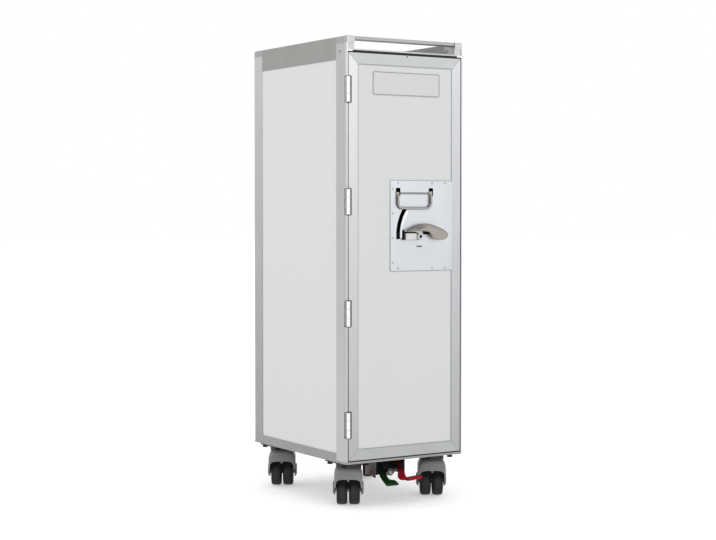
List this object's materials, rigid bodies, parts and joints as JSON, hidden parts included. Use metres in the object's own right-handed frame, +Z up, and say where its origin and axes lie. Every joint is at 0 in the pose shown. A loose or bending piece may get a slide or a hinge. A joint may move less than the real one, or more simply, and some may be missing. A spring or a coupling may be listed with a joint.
{
  "type": "airline galley trolley",
  "caption": "Half-size galley service trolley: tray cabinet with hinged front door, lift latch, bail handle, top gallery, foot brake and swivel twin-wheel casters",
  "frame": {"origin": "on the floor under the middle of the whole part's box", "axes": "Z up, the door faces -Y, X runs to the right as seen from the front"},
  "size_m": [0.3162, 0.4359, 1.02],
  "materials": {
    "frame_aluminium": "brushed",
    "gallery_aluminium": "satin",
    "door_aluminium": "satin",
    "panel_laminate": "satin",
    "stainless": "brushed",
    "cast_lever": "satin",
    "black_rubber": "matte",
    "caster_grey": "satin",
    "wheel_black": "satin",
    "pedal_red": "gloss",
    "pedal_green": "gloss",
    "bracket_black": "satin",
    "card_plate": "satin"
  },
  "bodies": {
    "cabinet": {"base_plate": "frame_aluminium", "floor_pan": "frame_aluminium", "door_stops": "frame_aluminium", "front_left_post": "frame_aluminium", "front_right_post": "frame_aluminium", "rear_left_post": "frame_aluminium", "rear_right_post": "frame_aluminium", "left_side_panel": "panel_laminate", "right_side_panel": "panel_laminate", "rear_panel": "panel_laminate", "left_top_rail": "gallery_aluminium", "right_top_rail": "gallery_aluminium", "rear_top_rail": "gallery_aluminium", "left_bottom_rail": "frame_aluminium", "right_bottom_rail": "frame_aluminium", "rear_bottom_rail": "frame_aluminium", "top_deck": "frame_aluminium", "front_push_bar": "gallery_aluminium", "rear_push_bar": "gallery_aluminium", "corner_caps": "gallery_aluminium", "tray_runners": "frame_aluminium", "hinge_post_leaves": "stainless", "hinge_pins": "stainless", "shaft_bearings": "bracket_black", "brake_bracket": "bracket_black", "caster_plates": "stainless", "caster_bolts": "bracket_black"},
    "door": {"door_hinge_stile": "door_aluminium", "door_latch_stile": "door_aluminium", "door_top_rail": "door_aluminium", "door_bottom_rail": "door_aluminium", "door_panel": "panel_laminate", "door_gasket": "black_rubber", "hinge_door_leaves": "stainless", "latch_plate": "stainless", "latch_housing": "bracket_black", "seal_block": "cast_lever", "card_plate": "card_plate", "latch_rivets": "stainless"},
    "bail": {"bail_handle": "stainless"},
    "lever": {"latch_lever": "cast_lever", "latch_crank": "bracket_black"},
    "bolt": {"latch_bolt": "stainless"},
    "brake_pedal": {"brake_shaft": "stainless", "red_pedal": "pedal_red"},
    "release_pedal": {"green_pedal": "pedal_green"},
    "rocker": {"pedal_rocker": "bracket_black"},
    "plungers": {"brake_plungers": "stainless"},
    "front_left_caster": {"front_left_fork": "caster_grey", "front_left_axle": "stainless"},
    "front_left_wheelset": {"front_left_wheels": "wheel_black"},
    "front_right_caster": {"front_right_fork": "caster_grey", "front_right_axle": "stainless"},
    "front_right_wheelset": {"front_right_wheels": "wheel_black"},
    "rear_left_caster": {"rear_left_fork": "caster_grey", "rear_left_axle": "stainless"},
    "rear_left_wheelset": {"rear_left_wheels": "wheel_black"},
    "rear_right_caster": {"rear_right_fork": "caster_grey", "rear_right_axle": "stainless"},
    "rear_right_wheelset": {"rear_right_wheels": "wheel_black"}
  },
  "joints": [
    {"name": "door_swing", "type": "hinge", "parent": "cabinet", "child": "door", "pos_m": [-0.1475, -0.202, 0.5], "axis": [0, 0, -1], "range_deg": [0, 240]},
    {"name": "bail_swing", "type": "hinge", "parent": "door", "child": "bail", "pos_m": [0.02075, -0.194, 0.6825], "axis": [-1, 0, 0], "range_deg": [0, 90]},
    {"name": "lever_lift", "type": "hinge", "parent": "door", "child": "lever", "pos_m": [0.0806, -0.2, 0.5943], "axis": [0, 1, 0], "range_deg": [0, 32]},
    {"name": "bolt_slide", "type": "slide", "parent": "door", "child": "bolt", "axis": [1, 0, 0], "range_m": [0, 0.0064]},
    {"name": "brake_press", "type": "hinge", "parent": "cabinet", "child": "brake_pedal", "pos_m": [0, -0.1257, 0.1155], "axis": [1, 0, 0], "range_deg": [0, 12]},
    {"name": "release_lift", "type": "hinge", "parent": "cabinet", "child": "release_pedal", "pos_m": [0, -0.1257, 0.1155], "axis": [1, 0, 0], "range_deg": [-12, 0]},
    {"name": "rocker_tilt", "type": "hinge", "parent": "cabinet", "child": "rocker", "pos_m": [-0.00775, -0.1497, 0.0675], "axis": [0, 1, 0], "range_deg": [0, 34.3]},
    {"name": "plunger_press", "type": "slide", "parent": "cabinet", "child": "plungers", "axis": [0, 0, -1], "range_m": [0, 0.0031]},
    {"name": "front_left_swivel", "type": "hinge", "parent": "cabinet", "child": "front_left_caster", "pos_m": [-0.111, -0.14, 0.09], "axis": [0, 0, 1], "continuous": true},
    {"name": "front_left_roll", "type": "hinge", "parent": "front_left_caster", "child": "front_left_wheelset", "pos_m": [-0.09794, -0.11868, 0.037], "axis": [0.8526, -0.5225, 0], "continuous": true},
    {"name": "front_right_swivel", "type": "hinge", "parent": "cabinet", "child": "front_right_caster", "pos_m": [0.111, -0.14, 0.09], "axis": [0, 0, 1], "continuous": true},
    {"name": "front_right_roll", "type": "hinge", "parent": "front_right_caster", "child": "front_right_wheelset", "pos_m": [0.12406, -0.11868, 0.037], "axis": [0.8526, -0.5225, 0], "continuous": true},
    {"name": "rear_left_swivel", "type": "hinge", "parent": "cabinet", "child": "rear_left_caster", "pos_m": [-0.111, 0.156, 0.09], "axis": [0, 0, 1], "continuous": true},
    {"name": "rear_left_roll", "type": "hinge", "parent": "rear_left_caster", "child": "rear_left_wheelset", "pos_m": [-0.09794, 0.17732, 0.037], "axis": [0.8526, -0.5225, 0], "continuous": true},
    {"name": "rear_right_swivel", "type": "hinge", "parent": "cabinet", "child": "rear_right_caster", "pos_m": [0.111, 0.156, 0.09], "axis": [0, 0, 1], "continuous": true},
    {"name": "rear_right_roll", "type": "hinge", "parent": "rear_right_caster", "child": "rear_right_wheelset", "pos_m": [0.12406, 0.17732, 0.037], "axis": [0.8526, -0.5225, 0], "continuous": true}
  ],
  "couplings": [
    {"joint": "bolt_slide", "follows": "lever_lift", "m_per_rad": 0.011252},
    {"joint": "release_lift", "follows": "brake_press", "ratio": -1},
    {"joint": "rocker_tilt", "follows": "brake_press", "ratio": 2.85},
    {"joint": "plunger_press", "follows": "brake_press", "m_per_rad": 0.014324}
  ]
}
